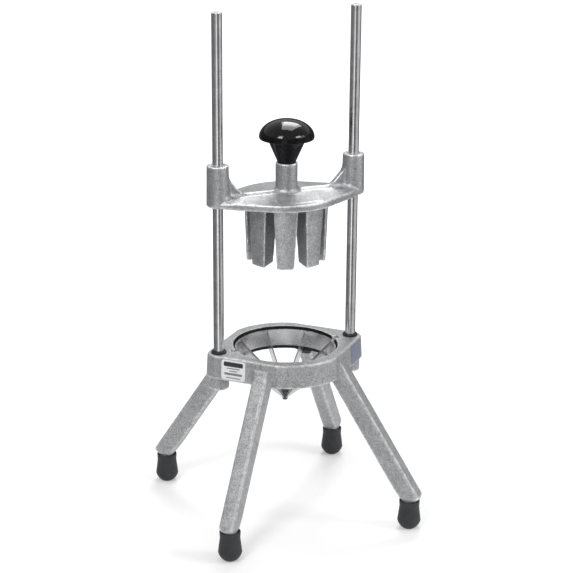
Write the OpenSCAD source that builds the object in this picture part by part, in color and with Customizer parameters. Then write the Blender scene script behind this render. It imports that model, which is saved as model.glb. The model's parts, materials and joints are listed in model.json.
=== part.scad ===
// Upright fruit wedger press: a cast base on four splayed legs holds a ring of
// eight blades, and a fingered pusher head slides down two guide rods over them.
// X runs from the left rod to the right rod, Y away from the front, Z up.
// The origin is on the floor, midway between the four feet.

/* [Guide rods] */
// Distance between the two guide rod axes
rod_spacing = 132; // [124:1:144]
// Diameter of each guide rod
rod_d = 9.525; // [8:0.025:11]
// Height of the rods above the top of the base casting
rod_rise = 313; // [280:1:360]
// Diameter of the threaded lower end of each rod
rod_thread_d = 7.8; // [6:0.1:7.9]
// Depth of the socket that takes the full rod at the top of the casting
rod_socket_depth = 8; // [5:0.5:9]
// Chamfer at the top of each rod
rod_chamfer = 0.4; // [0.2:0.1:1.5]

/* [Base casting] */
// Height of the casting's top face above the floor
base_top = 163.3; // [150:0.1:180]
// Height of the ring wall
ring_h = 22; // [18.5:0.5:25]
// Outer diameter of the ring
ring_d = 120; // [116:1:126]
// Diameter of the opening that the fruit is pushed through
opening_d = 97; // [92:0.5:98]
// Radial width of the ledge that carries the blade ring
ledge_w = 2.5; // [2:0.1:3]
// Height of that ledge
ledge_h = 3.5; // [2.5:0.5:5]
// Radius of the tab end round each rod
tab_r = 11; // [10:0.1:12]
// Diameter of the nut boss under each tab
nut_boss_d = 18.9; // [18.4:0.1:19.8]
// How far each nut boss stands below the ring
nut_boss_drop = 12.5; // [9:0.5:14]
// Rounding of each nut boss's lower edge, at most its wall
nut_boss_edge_r = 1.9; // [0.5:0.1:2.5]
// Distance of each nut recess's inner end below the ring
nut_recess_stop = 1; // [0.5:0.1:1.5]

/* [Legs] */
// Radius from the centre to the axis of each foot
foot_circle_r = 127.1; // [115:0.1:140]
// Angle of the legs from the line through the rods
leg_angle = 45.6; // [43:0.1:48]
// Radius at which the leg's centre line leaves the ring's underside
leg_root_r = 56.5; // [54.5:0.1:57.5]
// Width of each leg across the radius
leg_w = 14.5; // [12:0.1:16]
// Thickness of each leg square to its slope
leg_t = 17.9; // [15:0.1:19]
// Radius of the long edges of each leg
leg_edge_r = 2.2; // [1:0.1:3.5]
// How far the heel of each leg reaches past the foot's axis
heel_reach = 11.5; // [10:0.1:12.5]
// Radius of the outer corner of the heel
heel_r = 4; // [3:0.5:6]
// How far the leg's centre line passes outside the foot's axis at the lower end
leg_end_shift = 2.7; // [1.5:0.1:4]
// Diameter of each leg's tapered end above its foot
leg_end_d = 17; // [15:0.1:18.4]
// Angle of that taper from the upright, in degrees
leg_end_flare = 42; // [35:1:55]
// Distance of the legs' upper ends below the top of the casting
leg_top_drop = 4; // [3:0.5:8]
// Height of the metal seen between each leg's end and its foot
leg_stand_off = 1; // [0.5:0.1:3]
// Diameter of the round stub that each foot is pushed onto
stub_d = 13.6; // [12:0.1:14]

/* [Feet] */
// Height of each rubber foot
foot_h = 28.3; // [25:0.1:34]
// Greatest diameter of each foot
foot_d = 21.8; // [20.5:0.1:24]
// Height of the domed sole
foot_dome_h = 8; // [6:0.1:11]
// How far the dome's curve would swell past the foot's greatest radius
foot_dome_swell = 0.3; // [0.1:0.1:2]
// Height of the waist
foot_waist_h = 22; // [18:0.1:23]
// Diameter at the waist
foot_waist_d = 18.4; // [17.4:0.1:19]
// Diameter of the lip round the mouth
foot_lip_d = 19.2; // [18.5:0.1:20]
// Height of that lip
foot_lip_h = 2; // [1:0.1:3]
// Diameter of the flat that each foot stands on
foot_flat_d = 9.5; // [5:0.5:12]
// Thickness of rubber under the stub
foot_sole = 7; // [4:0.5:10]

/* [Blade assembly] */
// Thickness of each blade
blade_t = 0.8; // [0.6:0.1:1.2]
// Height of each blade strip, measured upright
blade_h = 14; // [11:0.5:14.5]
// Slope of the blades down to the middle, in degrees
blade_slope = 40; // [34:1:41]
// Height of the blades' lower corners above the ledge
blade_lift = 0.5; // [0.3:0.1:0.8]
// Wall thickness of the blade ring
blade_ring_wall = 1.8; // [1.5:0.1:2.4]
// Depth of the blade slots in that wall
blade_slot_depth = 1.1; // [0.8:0.1:1.2]
// Height of the blade ring
blade_ring_h = 16; // [14.8:0.1:17.5]
// Gap between the blade ring and the casting
blade_ring_gap = 1.3; // [0.8:0.1:1.8]
// Diameter of the centre pin
hub_d = 9.2; // [8:0.1:10.5]
// Diameter of the pin's lower tip
hub_tip_d = 4.5; // [3:0.1:6]
// Height of the taper at the pin's lower end
hub_taper_h = 8.5; // [5:0.5:10]
// Height of the pin's blunt point above the blades
hub_point_h = 2.8; // [1:0.1:4]
// Diameter of that point's end
hub_point_d = 2.3; // [1.5:0.1:4]
// How far the pin's tip stands below the blades
hub_tip_drop = 3.5; // [2:0.5:6]
// Depth of the blade slots in the pin
hub_slot_depth = 1.3; // [0.8:0.1:1.6]
// Width of the two locating ears
ear_w = 6; // [5.5:0.1:8]
// Thickness of the two locating ears
ear_t = 2.6; // [2:0.1:3]
// How far each ear reaches past the opening
ear_reach = 4.9; // [4.5:0.1:5.4]
// Shank diameter of the blade screws
blade_screw_d = 3; // [2:0.1:3.5]
// Head diameter of the blade screws
blade_screw_head_d = 4.6; // [4:0.1:5]
// Height of the blade screw heads
blade_screw_head_h = 1.4; // [1:0.1:2]
// Length of each blade screw under its head
blade_screw_length = 10; // [7:0.5:12]
// Distance of the blade screws outside the opening
blade_screw_out = 2.3; // [2.1:0.1:2.5]

/* [Fasteners] */
// Outer diameter of the lock washers
washer_d = 14.2; // [13:0.1:14.4]
// Thickness of the lock washers
washer_t = 1.3; // [1:0.1:1.8]
// Width across the flats of the rod nuts
nut_af = 12.3; // [11:0.1:12.5]
// Height of the rod nuts
nut_h = 6.5; // [5:0.1:7]
// How far each rod's thread stands out of its nut
thread_tail = 0.8; // [0.5:0.1:1.2]
// Outer diameter of the rubber bumpers round the rods
bumper_d = 14; // [13:0.1:16]
// Height of the rubber bumpers
bumper_h = 2.2; // [1.5:0.1:5]
// Rounding of the bumpers' edges, at most half their wall
bumper_edge_r = 1; // [0.5:0.1:1.2]

/* [Pusher head] */
// Height of the pusher plate above the base in the stored pose
head_rise = 139; // [60:0.5:165]
// Width of the plate from front to back
plate_w = 88; // [82:1:96]
// Radius of the plate's curved front and back edges
plate_edge_r = 53; // [50:0.5:60]
// Rounding of the plate's upper rim
plate_rim_round = 0.6; // [0.2:0.1:1]
// How far the plate's ends lie inside the rod bosses
plate_end_inset = 0.5; // [0.3:0.1:1]
// Thickness of the plate at its rim
plate_t = 6.5; // [5:0.5:8]
// Height of the ridge above the rim
ridge_rise = 4; // [2:0.5:6]
// Radius of the rounded ridge
ridge_r = 3; // [2:0.5:5]
// Diameter of the rod bosses at the plate
rod_boss_d = 20.6; // [19.5:0.1:22]
// Diameter of the rod bosses at their top
rod_boss_top_d = 19.8; // [18.5:0.1:20.5]
// Height of the rod bosses
rod_boss_h = 38.4; // [35:0.1:46]
// Diameter of the handle boss
handle_boss_d = 20; // [18:0.1:22]
// Height of the handle boss
handle_boss_h = 35.5; // [30:0.5:42]
// Radius of the fillet round the foot of the handle boss
handle_fillet_r = 5; // [3:0.5:7]
// Height on the boss at which each gusset starts
gusset_h = 26.5; // [20:0.5:29]
// Length of each gusset along the ridge
gusset_l = 16.5; // [12:0.5:20]
// Thickness of each gusset
gusset_t = 6; // [4:0.5:8]
// Hollow of each gusset's sloping edge, as a share of its height
gusset_hollow = 0.25; // [0:0.05:0.5]
// Length of the raised bare panel on the front slope
panel_l = 44; // [30:1:48]
// Width of that panel down the slope
panel_w = 12; // [8:0.5:14]
// Distance of the panel's middle from the middle of the plate
panel_out = 31; // [24:0.5:32]
// How far the panel stands out of the slope
panel_rise = 0.8; // [0.4:0.1:1.5]
// Radial clearance round the rods between the bushings
rod_relief = 0.7; // [0.3:0.1:1]

/* [Fingers] */
// Length of the fingers below the plate
finger_length = 55.5; // [45:0.5:60]
// Radius of the ring of fingers at the plate
finger_root_r = 38.2; // [35:0.1:40]
// Radius of the ring of fingers at their tips
finger_tip_r = 36.2; // [33:0.1:38]
// Width of the slots between fingers at the plate
slot_root_w = 7.4; // [6:0.1:9]
// Width of the slots between fingers at the tips
slot_tip_w = 12.3; // [10:0.1:14]

/* [Bushings] */
// Outer diameter of the plain bushings in the rod bosses
bushing_d = 12.8; // [12:0.1:14]
// Length of each bushing
bushing_length = 12; // [8:0.5:15]
// How far each bushing sits inside the end of its boss
bushing_inset = 0.6; // [0.2:0.1:1.5]

/* [Knob] */
// Diameter of the knob's dome
knob_d = 50.2; // [44:0.1:56]
// Height of the dome
dome_h = 18.7; // [14:0.1:22]
// Radius of the dome's lower edge
knob_edge_r = 2.5; // [1:0.1:3]
// Height of the tapered neck under the dome
neck_h = 21; // [18.5:0.1:28]
// Diameter of the neck where it meets the handle boss
neck_foot_d = 17; // [14:0.1:17.5]
// Diameter of the neck under the dome
neck_top_d = 35; // [26:0.5:38]
// Diameter of the threaded stud that carries the knob
stud_d = 8; // [6:0.1:8.5]
// Depth of the stud in the handle boss
stud_depth = 20; // [14:0.5:24]
// How far the stud ends inside the insert's upper end
stud_short = 1.5; // [0.5:0.1:3]
// Outer diameter of the brass insert in the knob
insert_d = 12; // [10.5:0.1:12.5]
// Length of the brass insert
insert_length = 16; // [12:0.5:20]
// How far the insert sits inside the foot of the neck
insert_inset = 1; // [0.5:0.1:2]

/* [Labels] */
// Width of each label
label_w = 24; // [18:0.5:25]
// Bare metal above and below each label
label_margin = 1.6; // [0.2:0.1:3]
// Thickness of each label
label_t = 0.3; // [0.2:0.1:0.6]
// Distance of the front label from the middle of its flat
label_front_shift = 27; // [20:0.5:30]
// Distance of the end label from the middle of its flat
label_end_shift = 33.5; // [25:0.5:34.5]

/* [Fits] */
// Radial running clearance between rod and bushing
run_gap = 0.05; // [0.02:0.01:0.09]
// Radial clearance of pieces that are pressed or screwed together
seat_gap = 0.05; // [0.02:0.01:0.1]
// Clearance round loose pieces such as ears, washers and feet
loose_gap = 0.3; // [0.1:0.05:0.5]
// Gap left between the head and the bumpers at the bottom of the stroke
stop_gap = 0.3; // [0.1:0.1:1]

/* [Hidden] */
$fn = 96;
cut = 1;
blade_count = 8;
blade_step = 360 / blade_count;

// Plan of the base casting
rod_x = rod_spacing / 2;
rod_r = rod_d / 2;
rod_top = base_top + rod_rise;
ring_r = ring_d / 2;
opening_r = opening_d / 2;
base_bottom = base_top - ring_h;
flat_r = rod_x / sqrt(2) + tab_r;
tab_reach = rod_x + tab_r / sqrt(2);
ledge_r = opening_r - ledge_w;
ledge_top = base_bottom + ledge_h;

// Rod ends, washers and nuts inside the nut bosses
rod_thread_r = rod_thread_d / 2;
nut_boss_bottom = base_bottom - nut_boss_drop;
rod_shoulder = base_top - rod_socket_depth;
nut_r = nut_af / 2 / cos(30);
nut_recess_r = max(washer_d / 2, nut_r) + loose_gap;
recess_floor = base_bottom - nut_recess_stop;
nut_top = recess_floor - washer_t;
rod_bottom = nut_top - nut_h - thread_tail;

// Legs
leg_end_z = foot_h + leg_stand_off;
heel_end_r = foot_circle_r + heel_reach;
leg_end_r = foot_circle_r + leg_end_shift;
leg_slope = atan((leg_end_r - leg_root_r) / (base_bottom - leg_end_z));
leg_run = (base_bottom - leg_end_z) / cos(leg_slope);
leg_top_limit = base_top - leg_top_drop;
leg_overrun = (leg_top_limit - base_bottom) / cos(leg_slope) + leg_t / 2 * tan(leg_slope);
stub_r = stub_d / 2;
stub_bottom = foot_sole + loose_gap;

// Blades, their ring and the centre pin
blade_ring_r = opening_r - blade_ring_gap;
blade_ring_bore = blade_ring_r - blade_ring_wall;
blade_ring_top = ledge_top + blade_ring_h;
blade_end_r = blade_ring_bore + blade_slot_depth - seat_gap;
hub_r = hub_d / 2;
hub_slot_r = hub_r - hub_slot_depth;
blade_root_r = hub_slot_r + seat_gap;
blade_low = ledge_top + blade_lift;
blade_drop = tan(blade_slope);
hub_low = blade_low - (blade_ring_bore - hub_r) * blade_drop;
hub_high = hub_low + blade_h;
hub_tip = hub_low - hub_tip_drop;
ear_end_r = opening_r + ear_reach;
ear_bottom = blade_ring_top - ear_t;
ear_screw_r = opening_r + blade_screw_out;
ear_screw_clear = blade_screw_d / 2 + seat_gap;

// Head heights
plate_z = base_top + head_rise;
rim_z = plate_z + plate_t;
ridge_z = rim_z + ridge_rise;
rod_boss_r = rod_boss_d / 2;
rod_boss_top = plate_z + rod_boss_h;
plate_end_r = rod_boss_r - plate_end_inset;
handle_boss_r = handle_boss_d / 2;
handle_boss_top = plate_z + handle_boss_h;
slope_angle = atan(ridge_rise / (plate_w / 2));
relief_r = rod_r + rod_relief;
bushing_r = bushing_d / 2;
bumper_top = base_top + bumper_h;

// Knob heights
knob_r = knob_d / 2;
neck_top = handle_boss_top + neck_h;
stud_r = stud_d / 2;
insert_r = insert_d / 2;
stud_bottom = handle_boss_top - stud_depth;
insert_bottom = handle_boss_top + insert_inset;
insert_top = insert_bottom + insert_length;
stud_top = insert_top - stud_short;

// Travel of the head from the stored pose, printed for the record
head_down = plate_z - bumper_top - stop_gap;
head_up = rod_top - rod_boss_top;
echo(head_down = head_down, head_up = head_up);

casting_colour = [0.62, 0.63, 0.64];
head_colour = [0.68, 0.69, 0.71];
steel_colour = [0.78, 0.78, 0.79];
dark_steel_colour = [0.36, 0.36, 0.37];
rubber_colour = [0.16, 0.17, 0.18];
knob_colour = [0.05, 0.05, 0.06];
brass_colour = [0.78, 0.62, 0.3];
nylon_colour = [0.72, 0.73, 0.74];
label_colour = [0.9, 0.91, 0.91];
end_label_colour = [0.5, 0.54, 0.64];

// Places its children at one rod: side is -1 on the left and 1 on the right
module at_rod(side) {
    translate([side * rod_x, 0, 0]) children();
}

// Upright cylinder between two heights
module post(r, z_low, z_high) {
    translate([0, 0, z_low]) cylinder(r = r, h = z_high - z_low);
}

// Upright tube between two heights
module tube(r, bore, z_low, z_high) {
    difference() {
        post(r, z_low, z_high);
        post(bore, z_low - cut, z_high + cut);
    }
}

// ---- Base casting ----

// Outline: a round ring cut by four flats that run out to the rod tabs
module base_plan() {
    intersection() {
        rotate(45) square(2 * flat_r, center = true);
        union() {
            circle(r = ring_r);
            square([2 * tab_reach, sqrt(2) * flat_r], center = true);
        }
    }
    for (side = [-1, 1]) translate([side * rod_x, 0]) circle(r = tab_r);
}

// Section of a leg: a rectangle with rounded corners
module leg_section() {
    half_t = leg_t / 2 - leg_edge_r;
    half_w = leg_w / 2 - leg_edge_r;
    square([leg_t, 2 * half_w], center = true);
    square([2 * half_t, leg_w], center = true);
    for (i = [-1, 1], j = [-1, 1])
        translate([i * half_t, j * half_w]) circle(r = leg_edge_r);
}

// Side view of the space that a leg may fill, with its rounded heel
module leg_side_limit() {
    rise = leg_top_limit - leg_end_z;
    translate([0, leg_end_z]) square([heel_end_r - heel_r, rise]);
    translate([0, leg_end_z + heel_r]) square([heel_end_r, rise - heel_r]);
    translate([heel_end_r - heel_r, leg_end_z + heel_r]) circle(r = heel_r);
}

// Space inside the taper of the leg's lower end, widening upwards about the foot's axis
module leg_end_cone() {
    end_r = leg_end_d / 2;
    rise = leg_top_limit - leg_end_z;
    translate([foot_circle_r, 0, leg_end_z])
        cylinder(r1 = end_r, r2 = end_r + rise * tan(leg_end_flare), h = rise);
}

// One leg along +X, with the stub that its foot goes onto
module leg() {
    intersection() {
        translate([leg_end_r, 0, leg_end_z])
            rotate([0, -leg_slope, 0])
                translate([0, 0, -leg_t])
                    linear_extrude(leg_t + leg_run + leg_overrun) leg_section();
        rotate([90, 0, 0])
            linear_extrude(2 * leg_w, center = true) leg_side_limit();
        leg_end_cone();
    }
    translate([foot_circle_r, 0, 0]) post(stub_r, stub_bottom, leg_end_z + cut);
}

// The four directions of the legs: left or right, then front or back
module at_leg(side, depth) {
    rotate(depth * (side > 0 ? leg_angle : 180 - leg_angle)) children();
}

// Boss under a tab, with a rounded lower edge
module nut_boss() {
    boss_r = nut_boss_d / 2;
    edge = min(nut_boss_edge_r, boss_r - nut_recess_r);
    top = base_bottom + cut;
    rotate_extrude() {
        translate([0, nut_boss_bottom]) square([boss_r - edge, top - nut_boss_bottom]);
        translate([0, nut_boss_bottom + edge]) square([boss_r, top - nut_boss_bottom - edge]);
        translate([boss_r - edge, nut_boss_bottom + edge]) circle(r = edge);
    }
}

module base_frame() {
    color(casting_colour)
    difference() {
        union() {
            translate([0, 0, base_bottom]) linear_extrude(ring_h) base_plan();
            for (side = [-1, 1]) {
                at_rod(side) nut_boss();
                for (depth = [-1, 1]) at_leg(side, depth) leg();
            }
        }
        post(opening_r, ledge_top, base_top + cut);
        post(ledge_r, base_bottom - cut, base_top);
        for (side = [-1, 1]) {
            at_rod(side) {
                post(rod_thread_r + seat_gap, nut_boss_bottom - cut, base_top);
                post(rod_r + seat_gap, rod_shoulder, base_top + cut);
                post(nut_recess_r, nut_boss_bottom - cut, recess_floor);
            }
            rotate(side > 0 ? 0 : 180) ear_notch();
        }
    }
}

// Notch in the casting for one ear, with the hole for its screw
module ear_notch() {
    notch_w = ear_w + 2 * loose_gap;
    translate([ledge_r, -notch_w / 2, ear_bottom])
        cube([ear_end_r + loose_gap - ledge_r, notch_w, base_top - ear_bottom + cut]);
    translate([ear_screw_r, 0, 0])
        post(ear_screw_clear, blade_ring_top - blade_screw_length - cut, base_top);
}

// ---- Feet ----

// Half section of a foot: domed sole, sides drawn in to the waist, and lip
module foot_section() {
    dome_steps = 8;
    dome_r = foot_d / 2 + foot_dome_swell;
    start = asin(foot_flat_d / 2 / dome_r);
    end = asin(foot_d / 2 / dome_r);
    stretch = foot_dome_h / (cos(start) - cos(end));
    polygon(concat(
        [[0, 0]],
        [for (i = [0 : dome_steps])
            let (a = start + (end - start) * i / dome_steps)
            [dome_r * sin(a), stretch * (cos(start) - cos(a))]],
        [
            [foot_waist_d / 2, foot_waist_h],
            [foot_lip_d / 2, foot_h - foot_lip_h],
            [foot_lip_d / 2, foot_h],
            [0, foot_h]
        ]
    ));
}

module foot(side, depth) {
    color(rubber_colour)
    at_leg(side, depth) translate([foot_circle_r, 0, 0]) difference() {
        rotate_extrude() foot_section();
        post(stub_r + seat_gap, foot_sole, foot_h + cut);
    }
}

// ---- Guide rods and their fasteners ----

module guide_rod(side) {
    color(steel_colour)
    at_rod(side) {
        post(rod_r, rod_shoulder, rod_top - rod_chamfer);
        translate([0, 0, rod_top - rod_chamfer])
            cylinder(r1 = rod_r, r2 = rod_r - rod_chamfer, h = rod_chamfer);
        post(rod_thread_r, rod_bottom, rod_shoulder + cut);
    }
}

// Rubber ring round the foot of a rod, with rounded outer edges
module rod_bumper(side) {
    inner = rod_r + seat_gap;
    outer = bumper_d / 2;
    edge = min(bumper_edge_r, bumper_h / 3, (outer - inner) / 2);
    color(rubber_colour)
    at_rod(side) translate([0, 0, base_top]) rotate_extrude() {
        translate([inner, 0]) square([outer - edge - inner, bumper_h]);
        translate([inner, edge]) square([outer - inner, bumper_h - 2 * edge]);
        for (z = [edge, bumper_h - edge]) translate([outer - edge, z]) circle(r = edge);
    }
}

module rod_washers() {
    color(steel_colour)
    for (side = [-1, 1]) at_rod(side)
        tube(washer_d / 2, rod_thread_r + loose_gap, nut_top, recess_floor);
}

module rod_nuts() {
    color(steel_colour)
    for (side = [-1, 1]) at_rod(side) difference() {
        translate([0, 0, nut_top - nut_h]) cylinder(r = nut_r, h = nut_h, $fn = 6);
        post(rod_thread_r + seat_gap, nut_top - nut_h - cut, nut_top + cut);
    }
}

// ---- Blade assembly ----

// Radial slot cutter or blade blank: a sloped strip in the XZ plane
module blade_strip(r_in, r_out, thick, grow) {
    low = function(r) blade_low - (blade_ring_bore - r) * blade_drop;
    rotate([90, 0, 0]) linear_extrude(thick, center = true) polygon([
        [r_in, low(r_in) - grow],
        [r_out, low(r_out) - grow],
        [r_out, low(r_out) + blade_h + grow],
        [r_in, low(r_in) + blade_h + grow]
    ]);
}

// The part of a blade outside the ring's bore is cut level, to stand in its slot
module blade(i) {
    color(steel_colour)
    rotate(i * blade_step) intersection() {
        blade_strip(blade_root_r, blade_end_r, blade_t, 0);
        translate([0, -hub_r, hub_tip])
            cube([ring_r, hub_d, blade_ring_top - hub_tip]);
    }
}

module blade_ring() {
    slot_w = blade_t + 2 * seat_gap;
    color(steel_colour)
    difference() {
        union() {
            post(blade_ring_r, ledge_top, blade_ring_top);
            for (side = [-1, 1]) rotate(side > 0 ? 0 : 180)
                translate([blade_ring_bore, -ear_w / 2, ear_bottom])
                    cube([ear_end_r - blade_ring_bore, ear_w, ear_t]);
        }
        post(blade_ring_bore, ledge_top - cut, blade_ring_top + cut);
        for (i = [0 : blade_count - 1]) rotate(i * blade_step)
            translate([0, -slot_w / 2, blade_low - seat_gap])
                cube([blade_ring_bore + blade_slot_depth, slot_w, blade_ring_h]);
        for (side = [-1, 1])
            translate([side * ear_screw_r, 0, 0])
                post(ear_screw_clear, ear_bottom - cut, blade_ring_top + cut);
    }
}

// Centre pin with one slot for each blade, a tapered tip and a pointed top
module blade_hub() {
    slot_w = blade_t + 2 * seat_gap;
    color(dark_steel_colour)
    difference() {
        union() {
            post(hub_r, hub_tip + hub_taper_h, hub_high);
            translate([0, 0, hub_tip])
                cylinder(r1 = hub_tip_d / 2, r2 = hub_r, h = hub_taper_h);
            translate([0, 0, hub_high])
                cylinder(r1 = hub_r, r2 = hub_point_d / 2, h = hub_point_h);
        }
        for (i = [0 : blade_count - 1]) rotate(i * blade_step)
            blade_strip(hub_slot_r, hub_d, slot_w, seat_gap);
    }
}

module blade_screws() {
    color(steel_colour)
    for (side = [-1, 1]) translate([side * ear_screw_r, 0, 0]) difference() {
        union() {
            post(blade_screw_d / 2, blade_ring_top - blade_screw_length, blade_ring_top + cut);
            post(blade_screw_head_d / 2, blade_ring_top, blade_ring_top + blade_screw_head_h);
        }
        translate([0, 0, blade_ring_top + blade_screw_head_h / 2])
            cylinder(r = blade_screw_head_d / 4, h = blade_screw_head_h, $fn = 6);
    }
}

// ---- Pusher head ----

// Slab of the plate: a pointed oval and the two ends that the rod bosses cover
module plate_slab(z_low, z_high, inset) {
    offset_y = plate_edge_r - plate_w / 2;
    translate([0, 0, z_low]) linear_extrude(z_high - z_low) {
        intersection() {
            translate([0, offset_y]) circle(r = plate_edge_r - inset);
            translate([0, -offset_y]) circle(r = plate_edge_r - inset);
        }
        for (side = [-1, 1]) translate([side * rod_x, 0]) circle(r = plate_end_r - inset);
    }
}

// The plate rises from its rim to a rounded ridge between the bosses
module plate() {
    hull() {
        plate_slab(plate_z, rim_z - plate_rim_round, 0);
        plate_slab(rim_z - plate_rim_round, rim_z, plate_rim_round);
        translate([0, 0, ridge_z - ridge_r]) rotate([0, 90, 0])
            cylinder(r = ridge_r, h = 2 * rod_x, center = true, $fn = 32);
    }
}

// Eight wedge-shaped fingers: a cone parted by four tapered slots
module fingers() {
    slot_reach = 2 * (finger_root_r + cut);
    root = slot_root_w / 2;
    tip = slot_tip_w / 2;
    flare = (tip - root) / finger_length;
    translate([0, 0, plate_z - finger_length]) difference() {
        cylinder(r1 = finger_tip_r, r2 = finger_root_r, h = finger_length + cut);
        for (k = [0 : blade_count / 2 - 1]) rotate(k * blade_step)
            rotate([90, 0, 90]) linear_extrude(slot_reach, center = true) polygon([
                [-tip - flare * cut, -cut],
                [tip + flare * cut, -cut],
                [root, finger_length],
                [-root, finger_length]
            ]);
    }
}

// Hollow fillet round the foot of a boss
module foot_fillet(r, size) {
    bite = cut / 2;
    rotate_extrude() translate([r - bite, 0]) difference() {
        square([size + bite, size]);
        translate([size + bite, size]) circle(r = size);
    }
}

// Rib from a rod boss down to the ridge, with a hollow curve at its lower end
module gusset() {
    sink = ridge_r / 2;
    start_x = rod_x - rod_boss_r + cut;
    top_z = plate_z + gusset_h;
    low_z = ridge_z - sink;
    curve_steps = 5;
    translate([0, gusset_t / 2, 0]) rotate([90, 0, 0]) linear_extrude(gusset_t) polygon(concat(
        [[start_x, low_z], [start_x, top_z]],
        [for (i = [1 : curve_steps])
            let (f = i / curve_steps)
            [start_x - gusset_l * f, low_z + (top_z - low_z) * (1 - f) * (1 - gusset_hollow * f)]],
        [[start_x - gusset_l, low_z - sink]]
    ));
}

module pusher_head() {
    color(head_colour)
    difference() {
        union() {
            plate();
            fingers();
            post(handle_boss_r, plate_z, handle_boss_top);
            translate([0, 0, ridge_z - ridge_r / 2]) foot_fillet(handle_boss_r, handle_fillet_r);
            for (side = [-1, 1]) {
                at_rod(side) translate([0, 0, plate_z])
                    cylinder(r1 = rod_boss_r, r2 = rod_boss_top_d / 2, h = rod_boss_h);
                rotate(side > 0 ? 0 : 180) gusset();
            }
            front_panel();
        }
        for (side = [-1, 1]) at_rod(side) {
            post(relief_r, plate_z - cut, rod_boss_top + cut);
            post(bushing_r, plate_z - cut, plate_z + bushing_inset + bushing_length);
            post(bushing_r, rod_boss_top - bushing_inset - bushing_length, rod_boss_top + cut);
        }
        post(stud_r + seat_gap, stud_bottom - cut, handle_boss_top + cut);
    }
}

// Bare raised panel on the front slope
module front_panel() {
    sink = ridge_rise / 2;
    slope_z = ridge_z - ridge_rise * panel_out / (plate_w / 2);
    translate([0, -panel_out, slope_z])
        rotate([slope_angle, 0, 0])
            translate([-panel_l / 2, -panel_w / 2, -sink])
                cube([panel_l, panel_w, sink + panel_rise]);
}

module bushing(side, upper) {
    low = upper ? rod_boss_top - bushing_inset - bushing_length : plate_z + bushing_inset;
    color(nylon_colour)
    at_rod(side)
        tube(bushing_r - seat_gap / 2, rod_r + run_gap, low, low + bushing_length);
}

// ---- Knob ----

// Half section of the knob: a tapered neck under a low elliptical dome
module knob_section() {
    edge_steps = 6;
    dome_steps = 20;
    rim_height = neck_top + knob_edge_r;
    polygon(concat(
        [[0, handle_boss_top], [neck_foot_d / 2, handle_boss_top], [neck_top_d / 2, neck_top]],
        [for (i = [0 : edge_steps])
            let (a = 90 * i / edge_steps)
            [knob_r - knob_edge_r * (1 - sin(a)), rim_height - knob_edge_r * cos(a)]],
        [for (i = [1 : dome_steps])
            let (a = 90 * i / dome_steps)
            [knob_r * cos(a), rim_height + (dome_h - knob_edge_r) * sin(a)]]
    ));
}

module knob() {
    color(knob_colour)
    difference() {
        rotate_extrude() knob_section();
        post(stud_r + loose_gap, handle_boss_top - cut, insert_bottom + cut);
        post(insert_r + seat_gap, insert_bottom, insert_top + seat_gap);
    }
}

module knob_insert() {
    color(brass_colour)
    tube(insert_r, stud_r + seat_gap, insert_bottom, insert_top);
}

module knob_stud() {
    color(steel_colour)
    post(stud_r, stud_bottom, stud_top);
}

// ---- Labels ----

// A label on one of the flats, shifted along it from the middle towards the rod
module label(side, shift) {
    tint = side < 0 ? label_colour : end_label_colour;
    color(tint)
    rotate(side < 0 ? 225 : -45)
        translate([flat_r, side * shift - label_w / 2, base_bottom + label_margin])
            cube([label_t, label_w, ring_h - 2 * label_margin]);
}

base_frame();
foot(-1, -1);  // foot_front_left
foot(1, -1);  // foot_front_right
foot(-1, 1);  // foot_back_left
foot(1, 1);  // foot_back_right
guide_rod(-1);  // guide_rod_left
guide_rod(1);  // guide_rod_right
rod_bumper(-1);  // rod_bumper_left
rod_bumper(1);  // rod_bumper_right
rod_washers();
rod_nuts();
blade_ring();
blade_hub();
blade_screws();
blade(0);  // blade_1
blade(1);  // blade_2
blade(2);  // blade_3
blade(3);  // blade_4
blade(4);  // blade_5
blade(5);  // blade_6
blade(6);  // blade_7
blade(7);  // blade_8
label(-1, label_front_shift);  // label_front
label(1, label_end_shift);  // label_end
pusher_head();
bushing(-1, true);  // bushing_upper_left
bushing(1, true);  // bushing_upper_right
bushing(-1, false);  // bushing_lower_left
bushing(1, false);  // bushing_lower_right
knob_stud();
knob_insert();
knob();
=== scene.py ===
"""Looks of the fruit wedger press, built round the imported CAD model. Metres, +Z up."""

import json
from math import atan, cos, hypot, pi, radians, sin, sqrt, tan

import bmesh
import bpy
import numpy as np
from mathutils import Matrix, Vector

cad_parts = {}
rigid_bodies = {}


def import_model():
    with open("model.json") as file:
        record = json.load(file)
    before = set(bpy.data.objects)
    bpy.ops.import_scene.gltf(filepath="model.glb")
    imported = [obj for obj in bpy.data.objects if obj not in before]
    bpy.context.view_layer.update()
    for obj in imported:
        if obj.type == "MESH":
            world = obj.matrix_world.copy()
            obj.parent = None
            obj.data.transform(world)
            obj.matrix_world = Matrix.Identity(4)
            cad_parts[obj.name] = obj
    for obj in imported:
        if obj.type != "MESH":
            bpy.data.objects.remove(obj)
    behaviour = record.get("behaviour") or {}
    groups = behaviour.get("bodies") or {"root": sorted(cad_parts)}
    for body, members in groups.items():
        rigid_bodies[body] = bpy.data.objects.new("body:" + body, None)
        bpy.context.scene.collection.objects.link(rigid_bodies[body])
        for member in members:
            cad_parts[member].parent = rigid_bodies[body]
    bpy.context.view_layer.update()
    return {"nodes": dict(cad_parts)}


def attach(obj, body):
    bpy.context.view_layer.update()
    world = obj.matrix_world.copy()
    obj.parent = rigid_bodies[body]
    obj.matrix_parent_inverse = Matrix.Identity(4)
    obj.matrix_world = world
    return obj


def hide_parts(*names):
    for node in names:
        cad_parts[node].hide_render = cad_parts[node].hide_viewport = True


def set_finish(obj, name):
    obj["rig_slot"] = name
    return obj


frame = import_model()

MM = 0.001
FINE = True
NODES = frame["nodes"]
S2 = 1 / sqrt(2)

# Sizes in millimetres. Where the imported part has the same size, it has the same value.
# _R is a radius and _T a thickness. Heights of edges and faces are above the floor.

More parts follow.
